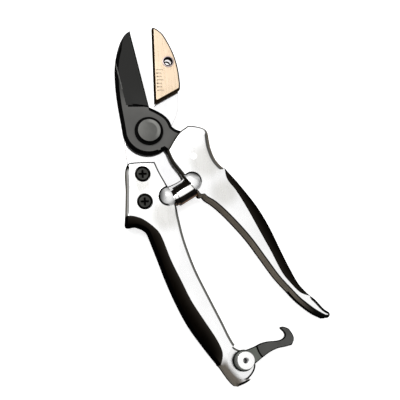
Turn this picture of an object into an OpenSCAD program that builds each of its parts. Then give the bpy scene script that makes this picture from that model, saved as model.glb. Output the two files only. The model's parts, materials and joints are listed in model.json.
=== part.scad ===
/* [Jaws] */
// Angle between the open and the closed jaws, degrees
jaw_angle = 12; // [8:0.5:12]
// Distance of the anvil's cutting face from the pivot axis
face_x = 3.85; // [3.5:0.05:4.2]
// Tilt of the anvil's cutting face away from the blade, degrees
face_tilt = 0.8; // [0:0.1:1]
// Gap left between the cutting edge and the anvil when closed
edge_gap = 0.1; // [0.05:0.05:0.3]
// Width of the ground bevel on each side of the blade
bevel_w = 12.5; // [8:0.5:13]
// Thickness left along the cutting edge
edge_t = 0.1; // [0.05:0.05:0.2]
// Thickness of the brass anvil
anvil_t = 4.8; // [4:0.1:5.5]

/* [Handles] */
// Thickness of both handles
handle_t = 11; // [10:0.5:12]
// Radius of the ball-shaped bosses that hold the spring's ends
boss_r = 7.5; // [7:0.1:7.5]
// How far the grip inlays stand proud of the handle faces
grip_proud = 0.2; // [0.1:0.1:0.4]

/* [Stack at the pivot] */
// Thickness of the anvil plate
plate_t = 3.2; // [2.5:0.1:3.2]
// Thickness of the blade
blade_t = 3; // [2.5:0.1:3]
// Radius of the pivot bolt's shank
bolt_r = 4; // [3:0.25:4.5]
// Radius of the pivot bolt's flat head
bolt_head_r = 6.5; // [6:0.25:7]
// Radius of the black washer under the bolt head
head_washer_r = 8; // [7.5:0.25:8.5]

/* [Screws] */
// Radius of the black cross-head screw heads
screw_head_r = 4; // [3:0.25:4]
// Radius of the screw shanks
screw_r = 2; // [1.5:0.25:2.25]

/* [Spring] */
// Outer radius of the volute spring
spring_r = 5.75; // [4.5:0.25:5.75]
// How far the spring's axis lies below the line between the boss centres
spring_shift = 2.75; // [0:0.25:2.75]

/* [Latch] */
// Radius of the latch rivet's raised head
rivet_head_r = 4.9; // [4:0.1:5]
// Radius of the catch pin in the other handle's end
catch_pin_r = 1; // [0.75:0.05:1]

/* [Hidden] */
$fn = 64;
running_gap = 0.05;  // radial clearance of a turning fit
face_gap = 0.05;     // clearance between sliding faces
through = 0.01;      // overshoot of a cut past a face

// Levels above the plane that the shears lie on
mid_z = boss_r;
back_z = mid_z - handle_t / 2;
front_z = mid_z + handle_t / 2;
plate_z = 4.2;
plate_front_z = plate_z + plate_t;
spacer_t = 0.3;
blade_z = plate_front_z + spacer_t + face_gap;
blade_front_z = blade_z + blade_t;
blade_mid_z = blade_z + blade_t / 2;
head_washer_t = 1;
bolt_head_z = blade_front_z + face_gap + head_washer_t;
bolt_head_t = 1.5;
nut_t = 3;
nut_across = 13;

// Places in plan; the pivot axis is the origin
anvil_rivet_at = [12.7, 40];
rivet_r = 2.6;
upper_plate_screw = [-4.9, -24.6];
lower_plate_screw = [-4.4, -39.9];
upper_blade_screw = [20.8, -5.8];
lower_blade_screw = [24, -15];
left_boss = [8.5, -37.2];
right_boss = [22.4, -29.2];
latch_pivot = [46, -128];
catch_pin_at = [83.7, -96.7];
pocket_floor = 1;    // depth of the spring pockets past the boss centres
pocket_r = spring_r + 0.3;
hub_r = 14.2;
hub_at = [-0.4, 0.7];  // the hub is struck a little off the pivot axis
swing_r = 32.5;      // radius of the plate's foot, struck from the pivot
slot_angle = -45.6;  // direction of the fork slot along the blade handle's end
slot_start = 117;    // where that slot begins, along its own direction
slot_z = 5.4;
slot_t = 4.2;
lap_r = 10.2;        // radius of the half lap that the latch turns in
lap_z = 5.8;
latch_washer_t = 0.3;
eye_z = lap_z + latch_washer_t + face_gap;
eye_t = 2.2;
finger_z = 5.9;
finger_t = 3;
eye_r = 5.9;
latch_bore_r = 2.5;
finger_heel_at = [66.4, -118.5];  // the finger's round end towards the eye is struck from here

// Smooth curve through hand-set points (Catmull-Rom), steps segments between each pair
function spline_at(a, b, c, d, t) =
    0.5 * (2 * b + (c - a) * t + (2 * a - 5 * b + 4 * c - d) * t * t
           + (3 * b - a - 3 * c + d) * t * t * t);
function curve(p, steps = 4) =
    let (last = len(p) - 1)
    concat([for (i = [0 : last - 1], k = [0 : steps - 1])
                spline_at(p[max(i - 1, 0)], p[i], p[i + 1], p[min(i + 2, last)], k / steps)],
           [p[last]]);
function arc(centre, r, from, to, steps = 8) =
    [for (k = [0 : steps])
        let (a = from + (to - from) * k / steps)
        centre + r * [cos(a), sin(a)]];
function reverse(p) = [for (i = [len(p) - 1 : -1 : 0]) p[i]];

// Outlines of the anvil side's handle, from its jaw end to its tail
anvil_inner_edge = concat(
    [[2.2, -17.8], [3.6, -21.5]],
    curve([[9.5, -33.7], [12.3, -39.5], [13.9, -48], [16.5, -61.2], [21.5, -77.1], [27.3, -90.5],
           [34.7, -106.7], [38.6, -115.6], [42, -120.8], [46.5, -122.8]]));
anvil_tail = concat(
    arc(latch_pivot, 5.6, 60, 20, 3),
    [[52.9, -129], [53.1, -130.5], [52.8, -132.4], [51.4, -135.1], [49.3, -137.3], [47.1, -139]],
    [[44.4, -140.3]],
    arc([40.8, -140.1], 1.4, -50, -150, 3));
anvil_shoulder = concat(arc([-11.6, -19.8], 1.5, 90, 175, 4), [[-13.7, -33], [-14.6, -47.5]]);
anvil_grip_edge = curve([[-14.6, -47.5], [-9.9, -48.1], [-5, -50.3], [0.5, -54.9], [3.6, -59.5],
                         [8.2, -72.6], [13.1, -83.8], [18.1, -95], [24.7, -106.2], [30.7, -116.3],
                         [33.3, -123.6], [31.8, -129.9]]);
anvil_grip_outer = concat(
    arc([-14, -52], 1, 170, 260, 3),
    curve([[-9, -52.9], [-5.6, -54.3], [-3.2, -56.6], [-1.2, -62], [2, -71.4], [5.8, -82.8],
           [11, -96], [17.1, -108.5], [25, -120.5], [31.8, -129.9]]));

// Outlines of the blade side's handle
blade_outer_edge = concat(
    [[18.4, 0.2]], arc([22.3, 0.6], 1.9, 140, 90, 3),
    curve([[25.5, 2.4], [30.2, 1.2], [33.2, -1.4], [33.9, -6], [34.6, -10.5], [37, -16.9], [41.3, -22]]));
blade_grip_outer = curve([[41.3, -22], [47.2, -29], [52.8, -36.3], [58.8, -45], [64.6, -56], [70, -69],
                          [74.5, -79.4], [79, -88.3], [84.8, -95]]);
blade_grip_edge = curve([[41.3, -22], [42.5, -28.4], [47.1, -35], [52.9, -45.5], [58.6, -57.3], [64.3, -69],
                         [69.9, -81.3], [74.6, -87.8], [79.5, -92.9], [84.8, -95]]);
blade_tail = concat([[94.2, -103.7]], arc([93.9, -105.7], 2, 40, -110, 6));
blade_inner_edge = curve([[92.4, -107.7], [86.2, -104.2], [78.6, -97.8], [73, -91.4], [66.7, -83.8],
                          [59.4, -72.8], [52.1, -61.9], [43.1, -51], [35.8, -43.5], [30.2, -39.2]]);
blade_inner_shoulder = concat(
    arc([27.2, -34.2], 3.2, -65, -135, 4),
    [[21.1, -30.4], [16.5, -23.8], [12, -17.2], [9.7, -11.4]]);

// Outline of the blade with its hub and tang
function turn(p, a) = [p[0] * cos(a) - p[1] * sin(a), p[0] * sin(a) + p[1] * cos(a)];
edge_x = face_x - edge_gap;
edge_angle = jaw_angle - face_tilt;
heel_y = 15;
edge_tip = turn([edge_x, 59.5], edge_angle);
edge_heel = turn([edge_x, heel_y], edge_angle);
blade_back = curve([[-8.6, 58.6], [-10.8, 56.7], [-13.6, 52], [-15.9, 45], [-17.2, 38], [-17.5, 30],
                    [-17.1, 21], [-16.2, 12.5], [-15.2, 5], [-14.6, 0]]);
blade_outline = concat(
    [edge_tip], blade_back, arc(hub_at, hub_r, 186, 307, 20),
    [[13, -16.5], [25, -21], [30, -16], [30, -6], [25, -2], [18.4, 0.2], [15.4, 1.3], [13.4, 2.8]],
    curve([[12.8, 4.5], [11.4, 7.2], [8.8, 9.8], [4.9, 12.2], [0.9, 14.2]]), [edge_heel]);
anvil_outline = concat(
    [turn([face_x, 16], -face_tilt), [18.8, 24.1]],
    curve([[19, 27.3], [18.3, 36], [16, 45.4], [11.5, 55.1], [8.1, 58.9], [5.6, 60.4]]),
    [turn([face_x, 60.4], -face_tilt)]);
plate_outline = concat(
    [[5, 16.4], [2.2, 13.3], [-6, 12], [-11, 8], [-13.2, 1], [-13.1, -8], [-12, -20], [-11, -46]],
    [[2, -46], [2.2, -31.2]],
    arc([0, 0], swing_r, -77, -55, 6),
    [[14.2, -17], [12.6, -10], [13, 2], [17.2, 11], [18.4, 24], [18.4, 27.3]],
    curve([[18.4, 27.3], [17.8, 35.8], [15.6, 45], [11, 54.8]], 3),
    [[8, 58], [5.6, 58]]);

// Outline of the latch's arm and hook
latch_arm_top = curve([[47.5, -122.4], [52.2, -120.9], [56, -119.3], [60, -118.5], [65.6, -118.3],
                       [68.5, -117.5], [69.9, -116], [69.6, -114.2], [67.8, -112.3]]);
latch_hook = concat(arc([68.3, -111.7], 0.8, 200, 80, 3), [[70.6, -111.3]],
                    curve([[72.9, -112.8], [74.6, -115.8], [74.9, -118.4], [73.5, -121.2]]));
latch_arm_bottom = curve([[73.5, -121.2], [69.5, -122], [65, -122.7], [60.2, -124.7], [55.3, -127.9],
                          [51.2, -130.8]]);

module plan(points, z, height) {
    translate([0, 0, z]) linear_extrude(height) polygon(points);
}

module peg(at, r, z, height) {
    translate([at[0], at[1], z]) cylinder(r = r, h = height);
}

// Everything along the spring's axis, with x running from the left boss to the right one
module along_spring() {
    run = right_boss - left_boss;
    translate([left_boss[0], left_boss[1], mid_z])
        rotate([0, 0, atan2(run[1], run[0])])
            translate([0, -spring_shift, 0]) children();
}

function spring_span() = norm(right_boss - left_boss);

module spring_pocket() {
    along_spring()
        translate([-pocket_floor, 0, 0]) rotate([0, 90, 0])
            cylinder(r = pocket_r, h = spring_span() + 2 * pocket_floor);
}

module ball_boss(at) {
    translate([at[0], at[1], mid_z]) sphere(r = boss_r);
}

// The handle's plan, cut square at its faces, with its spring boss added
module handle_body(points, boss_at) {
    plan(points, back_z, handle_t);
    intersection() {
        ball_boss(boss_at);
        plan(points, 0, 2 * mid_z);
    }
}

module cross_recess(depth) {
    for (a = [0, 90]) rotate([0, 0, a]) translate([-2.2, -0.45, -depth]) cube([4.4, 0.9, depth + 1]);
}

// Cross-head screw standing on z = 0 with its head upwards; the shank runs down
module cross_screw(head_r, head_t, shank_r, shank_l) {
    difference() {
        union() {
            cylinder(r = head_r, h = head_t);
            translate([0, 0, -shank_l]) cylinder(r = shank_r, h = shank_l);
        }
        translate([0, 0, head_t]) cross_recess(1.1);
    }
}

screw_head_t = 1.6;
screw_seat_z = front_z - screw_head_t - 0.1;
back_head_r = screw_head_r - 0.5;
back_head_t = 2;
catch_pin_top_z = front_z - 1.5;

module anvil_handle() {
    outline = concat(anvil_inner_edge, anvil_tail, reverse(anvil_grip_edge), reverse(anvil_shoulder));
    color("gainsboro")
    difference() {
        handle_body(outline, left_boss);
        plan(plate_outline, plate_z, plate_t);
        spring_pocket();
        for (at = [upper_plate_screw, lower_plate_screw]) {
            peg(at, screw_r, back_z - through, handle_t);
            peg(at, screw_head_r + 0.15, screw_seat_z, handle_t);
        }
        peg(latch_pivot, lap_r, lap_z, handle_t);
        peg(latch_pivot, latch_bore_r, back_z - through, handle_t);
    }
}

module anvil_handle_grip() {
    color([0.09, 0.09, 0.09])
        plan(concat(anvil_grip_edge, reverse(anvil_grip_outer)),
             back_z - grip_proud, handle_t + 2 * grip_proud);
}

module anvil_plate() {
    color("silver")
    difference() {
        plan(plate_outline, plate_z, plate_t);
        peg([0, 0], bolt_r, plate_z - through, handle_t);
        peg(anvil_rivet_at, rivet_r, plate_z - through, handle_t);
        for (at = [upper_plate_screw, lower_plate_screw]) peg(at, screw_r, plate_z - through, handle_t);
    }
}

module anvil() {
    color([0.9, 0.78, 0.55])
    difference() {
        plan(anvil_outline, plate_front_z, anvil_t);
        peg(anvil_rivet_at, rivet_r, plate_front_z - through, anvil_t + 1);
    }
}

// Tubular rivet with a rolled rim at each face
module anvil_rivet() {
    rim = 0.3;
    rim_r = 3.3;
    hole_r = 2.05;
    grip_t = plate_t + anvil_t;
    color([0.72, 0.62, 0.42])
    difference() {
        union() {
            peg(anvil_rivet_at, rim_r, plate_z - rim, rim);
            peg(anvil_rivet_at, rivet_r, plate_z - rim, grip_t + 2 * rim);
            peg(anvil_rivet_at, rim_r, plate_z + grip_t, rim);
        }
        peg(anvil_rivet_at, hole_r, 0, 2 * mid_z);
    }
}

module pivot_bolt() {
    color([0.36, 0.36, 0.35]) {
        peg([0, 0], bolt_r, 0.2, bolt_head_z - 0.2);
        peg([0, 0], bolt_head_r, bolt_head_z, bolt_head_t);
    }
}

module washer(outer_r, inner_r, z, height) {
    translate([0, 0, z])
    difference() {
        cylinder(r = outer_r, h = height);
        translate([0, 0, -through]) cylinder(r = inner_r, h = height + 1);
    }
}

module pivot_head_washer() {
    color([0.08, 0.08, 0.08]) washer(head_washer_r, bolt_r, bolt_head_z - head_washer_t, head_washer_t);
}

module pivot_spacer_washer() {
    color("silver") washer(7.5, bolt_r, plate_front_z, spacer_t);
}

module pivot_lock_washer() {
    color("darkgray") washer(6.8, bolt_r, nut_t, plate_z - nut_t);
}

module pivot_nut() {
    color("darkgray")
    difference() {
        cylinder(d = nut_across / cos(30), h = nut_t, $fn = 6);
        translate([0, 0, -through]) cylinder(r = bolt_r, h = nut_t + 1);
    }
}

module plate_screw(at) {
    color([0.1, 0.1, 0.1])
        translate([at[0], at[1], screw_seat_z])
            cross_screw(screw_head_r, screw_head_t, screw_r, screw_seat_z - back_z);
}

module plate_screw_upper() {
    plate_screw(upper_plate_screw);
}

module plate_screw_lower() {
    plate_screw(lower_plate_screw);
}

// Volute spring as a telescoped solid: one wide coil and two narrower steps
module spring() {
    length = spring_span() + 2 * pocket_floor;
    wall = 1;
    color([0.2, 0.2, 0.2])
    along_spring()
    translate([-pocket_floor, 0, 0]) rotate([0, 90, 0])
    rotate_extrude()
        polygon([[spring_r - 3 * wall, 0], [spring_r - 2 * wall, 0], [spring_r - 2 * wall, 0.15 * length],
                 [spring_r - wall, 0.15 * length], [spring_r - wall, 0.3 * length],
                 [spring_r, 0.3 * length], [spring_r, length], [spring_r - 3 * wall, length]]);
}

// Hollow rivet that the latch turns on, with a tall round head and a peened foot
module latch_rivet() {
    head_z = eye_z + eye_t + face_gap;
    color("whitesmoke")
    difference() {
        union() {
            peg(latch_pivot, 4.2, 0, back_z);
            peg(latch_pivot, latch_bore_r, back_z, head_z - back_z);
            peg(latch_pivot, rivet_head_r, head_z, front_z + 0.3 - head_z);
        }
        peg(latch_pivot, 1.5, -through, 2 * mid_z);
    }
}

module latch_washer() {
    color("silver")
        translate([latch_pivot[0], latch_pivot[1], 0]) washer(5.5, latch_bore_r, lap_z, latch_washer_t);
}

// Flat blade with a wedge-shaped ground part above its heel
module blade() {
    wedge = atan2((blade_t - edge_t) / 2, bevel_w);
    apex_x = edge_x + edge_t / 2 / tan(wedge);
    color([0.16, 0.16, 0.16])
    difference() {
        plan(blade_outline, blade_z, blade_t);
        for (side = [-1, 1])
            intersection() {
                rotate([0, 0, edge_angle]) translate([apex_x, 0, blade_mid_z]) rotate([0, side * wedge, 0])
                    translate([-2 * bevel_w, 0, side > 0 ? 0 : -blade_t]) cube([3 * bevel_w, 80, blade_t]);
                translate([-2 * bevel_w, heel_y, 0]) cube([3 * bevel_w, 80, 2 * mid_z]);
            }
        peg([0, 0], bolt_r + 1.5, blade_z - through, blade_t + 1);
        for (at = [upper_blade_screw, lower_blade_screw]) peg(at, screw_r, blade_z - through, blade_t + 1);
    }
}

module pivot_bush() {
    color("goldenrod") washer(bolt_r + 1.5, bolt_r + running_gap, blade_z, blade_t);
}

module fork_slot() {
    rotate([0, 0, slot_angle]) translate([slot_start, -20, slot_z]) cube([40, 40, slot_t]);
}

module blade_handle() {
    outline = concat(blade_outer_edge, blade_grip_edge, blade_tail, blade_inner_edge, blade_inner_shoulder);
    color("gainsboro")
    difference() {
        handle_body(outline, right_boss);
        plan(blade_outline, blade_z, blade_t);
        peg([0, 0], swing_r + 0.5, -through, blade_z + through);
        spring_pocket();
        fork_slot();
        peg(lower_blade_screw, screw_r, 0, front_z + 1);
        peg(lower_blade_screw, back_head_r + 0.15, -through, blade_z);
        peg(upper_blade_screw, screw_r, 0, blade_front_z + 1.5);
        peg(catch_pin_at, catch_pin_r, -through, catch_pin_top_z + through);
    }
}

module blade_handle_grip() {
    color([0.09, 0.09, 0.09])
    difference() {
        plan(concat(blade_grip_outer, reverse(blade_grip_edge)),
             back_z - grip_proud, handle_t + 2 * grip_proud);
        fork_slot();
    }
}

// Screws driven from the back, heads on the tang's back face
module blade_screw(at, tip_z) {
    color([0.1, 0.1, 0.1])
        translate([at[0], at[1], blade_z]) mirror([0, 0, 1])
            cross_screw(back_head_r, back_head_t, screw_r, tip_z - blade_z);
}

module blade_screw_upper() {
    blade_screw(upper_blade_screw, blade_front_z + 1.5);
}

module blade_screw_lower() {
    blade_screw(lower_blade_screw, front_z);
}

module catch_pin() {
    color("silver") peg(catch_pin_at, catch_pin_r, back_z, catch_pin_top_z - back_z);
}

module latch() {
    arm = concat(latch_arm_top, latch_hook, latch_arm_bottom);
    finger_heel_r = 13.1;
    color([0.3, 0.31, 0.3])
    difference() {
        union() {
            intersection() {
                plan(arm, finger_z, finger_t);
                peg(finger_heel_at, finger_heel_r, 0, front_z);
            }
            plan(arm, eye_z, eye_t);
            peg(latch_pivot, eye_r, eye_z, eye_t);
        }
        peg(latch_pivot, latch_bore_r + running_gap, 0, front_z);
    }
}

anvil_handle();
anvil_handle_grip();
anvil_plate();
anvil();
anvil_rivet();
pivot_bolt();
pivot_head_washer();
pivot_spacer_washer();
pivot_lock_washer();
pivot_nut();
plate_screw_upper();
plate_screw_lower();
spring();
latch_rivet();
latch_washer();
blade();
blade_handle();
blade_handle_grip();
pivot_bush();
blade_screw_upper();
blade_screw_lower();
catch_pin();
latch();
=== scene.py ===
import json
import math
import bmesh
import bpy
import numpy as np
from mathutils import Matrix, Vector
from mathutils.geometry import delaunay_2d_cdt


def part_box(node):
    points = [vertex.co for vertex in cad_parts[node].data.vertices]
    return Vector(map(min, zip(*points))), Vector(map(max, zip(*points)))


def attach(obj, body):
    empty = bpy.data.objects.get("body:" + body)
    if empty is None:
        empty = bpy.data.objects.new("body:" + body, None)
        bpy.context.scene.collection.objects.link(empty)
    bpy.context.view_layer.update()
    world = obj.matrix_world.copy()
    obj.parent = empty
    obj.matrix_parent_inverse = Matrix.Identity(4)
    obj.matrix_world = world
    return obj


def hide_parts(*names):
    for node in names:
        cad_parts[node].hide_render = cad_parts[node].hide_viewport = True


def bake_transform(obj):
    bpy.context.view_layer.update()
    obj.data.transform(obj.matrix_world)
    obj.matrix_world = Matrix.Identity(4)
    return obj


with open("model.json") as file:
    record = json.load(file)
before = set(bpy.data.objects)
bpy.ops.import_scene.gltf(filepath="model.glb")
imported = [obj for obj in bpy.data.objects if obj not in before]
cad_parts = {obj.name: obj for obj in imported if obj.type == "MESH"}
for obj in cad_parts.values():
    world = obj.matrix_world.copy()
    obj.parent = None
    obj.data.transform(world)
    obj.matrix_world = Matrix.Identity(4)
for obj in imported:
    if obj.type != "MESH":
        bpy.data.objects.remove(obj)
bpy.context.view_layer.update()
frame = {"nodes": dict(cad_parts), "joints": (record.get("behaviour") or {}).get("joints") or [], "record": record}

MM = 0.001
nodes = frame["nodes"]
joint = {j["name"]: j for j in frame["joints"]}


def body_of(node):
    for body, members in frame["record"]["behaviour"]["bodies"].items():
        if node in members:
            return body


def slot_of(node):
    for part in frame["record"]["subparts"]:
        if part["node"] == node:
            return part["material_slot"]


def box_mm(node):
    lo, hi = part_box(node)
    return np.array(lo) / MM, np.array(hi) / MM


def centre_of(node):
    lo, hi = box_mm(node)
    return (lo[:2] + hi[:2]) / 2


def radius_of(node):
    lo, hi = box_mm(node)
    return (hi[0] - lo[0]) / 2


def linked(name, data):
    """A new object in the scene."""
    thing = bpy.data.objects.new(name, data)
    bpy.context.scene.collection.objects.link(thing)
    return thing


# ---------------------------------------------------------------- materials

MAT = {}   # every finished material by name


def rgb(colour, times=1.0):
    """A colour as three numbers, scaled; one number stands for a grey."""
    return tuple(times * c for c in (colour if isinstance(colour, tuple) else (colour,) * 3))


class Nodes:
    """Small wrapper that makes and links shader nodes."""

    def __init__(self, name):
        self.name = name
        self.mat = bpy.data.materials.new(name)
        self.mat.use_nodes = True
        self.tree = self.mat.node_tree
        self.tree.nodes.clear()
        out = self.tree.nodes.new("ShaderNodeOutputMaterial")
        self.bsdf = self.tree.nodes.new("ShaderNodeBsdfPrincipled")
        self.tree.links.new(self.bsdf.outputs[0], out.inputs[0])
        coord = self.tree.nodes.new("ShaderNodeTexCoord")
        self.point, self.normal = coord.outputs["Object"], coord.outputs["Normal"]

    def add(self, kind, inputs=(), **settings):
        node = self.tree.nodes.new("ShaderNode" + kind)
        for key, value in settings.items():
            setattr(node, key, value)
        for key, value in dict(inputs).items():
            if isinstance(value, bpy.types.NodeSocket):
                self.tree.links.new(value, node.inputs[key])
            else:
                node.inputs[key].default_value = value
        return node

    def stretched(self, scale):
        return self.add("Mapping", {"Vector": self.point, "Scale": scale}).outputs[0]

    def noise(self, scale, detail=3.0, rough=0.55, vector=None):
        settings = {"Vector": vector or self.point, "Scale": scale, "Detail": detail, "Roughness": rough}
        return self.add("TexNoise", settings).outputs[0]

    def mottle(self, noise, a, b, low=0.3, high=0.7):
        """Two colours in soft patches."""
        return self.mix(self.ramp(noise, low, high), a, b)

    def vary(self, noise, low, high):
        """A value that wanders between two numbers."""
        return self.ramp(noise, 0.3, 0.7, low, high)

    def ramp(self, value, low, high, out_low=0.0, out_high=1.0):
        limits = {"From Min": low, "From Max": high, "To Min": out_low, "To Max": out_high}
        return self.add("MapRange", {"Value": value, **limits},
                        interpolation_type="SMOOTHSTEP").outputs[0]

    def mix(self, factor, a, b):
        node = self.add("Mix", data_type="RGBA")
        for index, value in ((0, factor), (6, a), (7, b)):
            if isinstance(value, bpy.types.NodeSocket):
                self.tree.links.new(value, node.inputs[index])
            else:
                node.inputs[index].default_value = value if index == 0 else (*rgb(value), 1.0)
        return node.outputs[2]

    def maths(self, operation, a, b=0.0):
        return self.add("Math", {0: a, 1: b}, operation=operation).outputs[0]

    def vector(self, operation, a, b=(0.0, 0.0, 0.0)):
        """The number that a vector operation gives, or its vector for SUBTRACT."""
        made = self.add("VectorMath", {0: a, 1: b}, operation=operation)
        return made.outputs[0 if operation == "SUBTRACT" else 1]

    def times(self, a, b):
        return self.maths("MULTIPLY", a, b)

    def fall(self, value, low, high):
        """1 below low, 0 above high."""
        return self.ramp(value, low, high, 1.0, 0.0)

    def place(self, axis):
        """The point's own x, y or z in the frame, metres."""
        return self.add("SeparateXYZ", {0: self.point}).outputs[axis]

    def past(self, axis, low, high):
        """0 where x, y or z is below low, 1 where it is above high, metres."""
        return self.ramp(self.place(axis), low, high)

    def short_of(self, axis, low, high):
        """1 where x, y or z is below low, 0 where it is above high, metres."""
        return self.fall(self.place(axis), low, high)

    def beyond(self, origin, direction, none, full):
        """0 at none millimetres past origin in a direction of the plan, 1 at full."""
        start = (origin[0] * MM, origin[1] * MM, 0.0)
        reach = self.vector("DOT_PRODUCT", self.vector("SUBTRACT", self.point, start), (*direction, 0.0))
        if none < full:
            return self.ramp(reach, none * MM, full * MM)
        return self.fall(reach, full * MM, none * MM)

    def centred(self, centre, scale=(1.0, 1.0, 1.0)):
        away = (-centre[0] * MM, -centre[1] * MM, 0.0)
        settings = {"Vector": self.point, "Scale": scale, "Location": away}
        return self.add("Mapping", settings).outputs[0]

    def near_spot(self, centre, full, none):
        """1 within full millimetres of an upright axis, 0 beyond none."""
        reach = self.vector("LENGTH", self.centred(centre, (1.0, 1.0, 0.0)))
        return self.fall(reach, full * MM, none * MM)

    def facing(self, direction):
        """How far the surface is turned to a direction in the frame, -1 to 1."""
        return self.vector("DOT_PRODUCT", self.normal, direction)

    def steepness(self):
        """0 on faces that lie flat, 1 on upright walls."""
        z = self.add("SeparateXYZ", {0: self.normal}).outputs[2]
        return self.maths("SUBTRACT", 1.0, self.maths("ABSOLUTE", z))

    def edged(self, face, edge, wall, start=0.05, full=0.14):
        """Face colour on flats, edge colour on the roundings, wall colour on upright sides."""
        steep = self.steepness()
        colour = self.mix(self.ramp(steep, start, full), face, edge)
        return self.mix(self.ramp(steep, 0.6, 0.97), colour, wall)

    def bump(self, height, distance, strength=1.0, normal=None):
        inputs = {"Height": height, "Distance": distance, "Strength": strength}
        if normal:
            inputs["Normal"] = normal
        return self.add("Bump", inputs).outputs[0]

    def bare_on_flats(self, amount=0.95):
        """Metallic on polished flats, dull and oxidised on roundings and walls."""
        return self.ramp(self.steepness(), 0.03, 0.3, amount, 0.0)

    def finish(self, colour, roughness, normal=None, metal=0.0, specular=0.0, **constants):
        """Links the surface up and keeps the material under its name."""
        for key, value in (("Base Color", colour), ("Roughness", roughness), ("Metallic", metal)):
            if isinstance(value, bpy.types.NodeSocket):
                self.tree.links.new(value, self.bsdf.inputs[key])
            else:
                self.bsdf.inputs[key].default_value = value
        if normal:
            self.tree.links.new(normal, self.bsdf.inputs["Normal"])
        self.bsdf.inputs["Specular IOR Level"].default_value = specular
        for key, value in constants.items():
            self.bsdf.inputs[key.replace("_", " ")].default_value = value
        MAT[self.name] = self.mat


def cast_aluminium(name, rim, rim_full, wall, black, under_z, shade_at, tail=None):
    """Tumbled cast aluminium: bright faces; the roundings and walls carry painted shade.

    rim makes the colour of the painted dark line round the faces; black makes the mask of the walls' painted
    near-black shade; walls are painted near-black shade below under_z too."""
    n = Nodes(name)
    cloud = n.noise(38, 2.5, 0.5)
    grain = n.noise(5200, 2.0, 0.6)
    lap = n.noise(160, 4.0, 0.6, n.stretched((1.0, 0.16, 1.0)))
    face = n.mix(n.ramp(cloud, 0.35, 0.7), 0.93, 0.86)
    # Painted shade: darker grey spots on the faces, one for each entry of shade_at
    for centre, full, none in shade_at:
        face = n.mix(n.near_spot(centre, full, none), face, (0.68, 0.675, 0.655))
    metal = n.ramp(n.steepness(), 0.012, 0.06, 0.95, 0.0)
    # Painted shade: a brownish grey gradient over the tail's rounded corner stands in for its shading, with the
    # metal taken off there
    if tail:
        origin, inward, down = tail
        tail_shade = n.times(n.beyond(origin, inward, 6.5, 1.5), n.beyond(origin, down, -4.0, 2.0))
        tail_shade_colour = n.mix(n.ramp(n.noise(190, 3.0), 0.35, 0.7), (0.15, 0.132, 0.11), (0.11, 0.095, 0.082))
        face = n.mix(tail_shade, face, tail_shade_colour)
        metal = n.times(metal, n.fall(tail_shade, 0.0, 0.9))
    # Painted shade: the walls' dark colour, near-black in the masked stretches and below under_z, stands in for
    # dark reflections
    dull = n.mottle(n.noise(55, 3.0), wall, rgb(wall, 0.78))
    low_wall_shade = n.short_of(2, under_z, under_z + 0.0012)
    dull = n.mix(n.maths("MAXIMUM", low_wall_shade, black(n)), dull, (0.003, 0.003, 0.0028))
    steep = n.steepness()
    # Painted shade: the rim colour draws a dark line round the faces
    colour = n.mix(n.ramp(steep, 0.012, 0.035), face, rim(n))
    colour = n.mix(n.ramp(steep, *rim_full), colour, dull)
    rough = n.maths("ADD", n.vary(lap, 0.22, 0.3), n.ramp(steep, 0.03, 0.5, 0.0, 0.3))
    fine = n.bump(grain, 0.00001, 0.25)
    n.finish(colour, rough, n.bump(cloud, 0.00012, 0.25, fine), metal)


def boss_aluminium(name, centre, foot, shade_from, foot_shadow_from):
    """A ball boss: polished, with painted shade on the side it is given and a painted black shadow line round its
    foot on the sides it is given.
    """
    n = Nodes(name)
    cloud = n.noise(60, 3.0)
    face = n.mix(n.ramp(cloud, 0.35, 0.7), 0.93, (0.87, 0.87, 0.865))
    # Painted shade towards one side, and a painted shadow line round the foot, both placed by direction from the
    # centre
    shade = n.beyond(centre, shade_from[0], *shade_from[1])
    colour = n.mix(shade, face, (0.035, 0.035, 0.034))
    within, inner = n.near_spot(centre, foot + 0.2, foot + 0.4), n.near_spot(centre, foot - 1.0, foot - 0.55)
    ring = n.maths("SUBTRACT", within, inner)
    line = n.times(ring, n.beyond(centre, foot_shadow_from[0], *foot_shadow_from[1]))
    colour = n.mix(line, colour, 0.003)
    metal = n.ramp(n.maths("MAXIMUM", shade, line), 0.0, 0.5, 0.95, 0.0)
    rough = n.vary(n.noise(900, 2.0), 0.24, 0.34)
    n.finish(colour, rough, n.bump(cloud, 0.00005, 0.2), metal)


def grip_black():
    n = Nodes("grip_black")
    pebble = n.add("TexVoronoi", {"Vector": n.point, "Scale": 1500.0},
                   feature="SMOOTH_F1").outputs[0]
    cloud = n.noise(60, 3.0)
    colour = n.mottle(cloud, (0.0010, 0.0008, 0.0006), (0.0028, 0.0020, 0.0014))
    # Painted reflection: the seam value lightens the black rubber to a warm brown towards the metal
    seam = n.add("Attribute", attribute_name="seam").outputs["Fac"]
    colour = n.mix(n.maths("POWER", seam, 2.6), colour, (0.05, 0.042, 0.034))
    colour = n.mix(n.ramp(n.steepness(), 0.04, 0.2), colour, 0.0008)
    rough = n.vary(n.noise(900, 2.0), 0.6, 0.75)
    n.finish(colour, rough, n.bump(pebble, 0.00004, 0.5))


def blade_coat(name, dark, light, specular):
    n = Nodes(name)
    cloud = n.noise(45, 3.0)
    peel = n.noise(2600, 2.0)
    lines = n.noise(700, 3.0, 0.6, n.stretched((0.12, 1.0, 1.0)))
    colour = n.mix(n.ramp(cloud, 0.3, 0.72), dark, light)
    colour = n.mix(n.past(1, 0.013, 0.034), colour, (0.028, 0.028, 0.027))
    colour = n.edged(colour, 0.0006, 0.0006, 0.03, 0.07)
    rough = n.maths("ADD", n.vary(cloud, 0.46, 0.56), n.vary(lines, 0.0, 0.06))
    normal = n.bump(lines, 0.00002, 0.25, n.bump(peel, 0.000012, 0.35))
    n.finish(colour, rough, normal, specular=specular)


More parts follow.
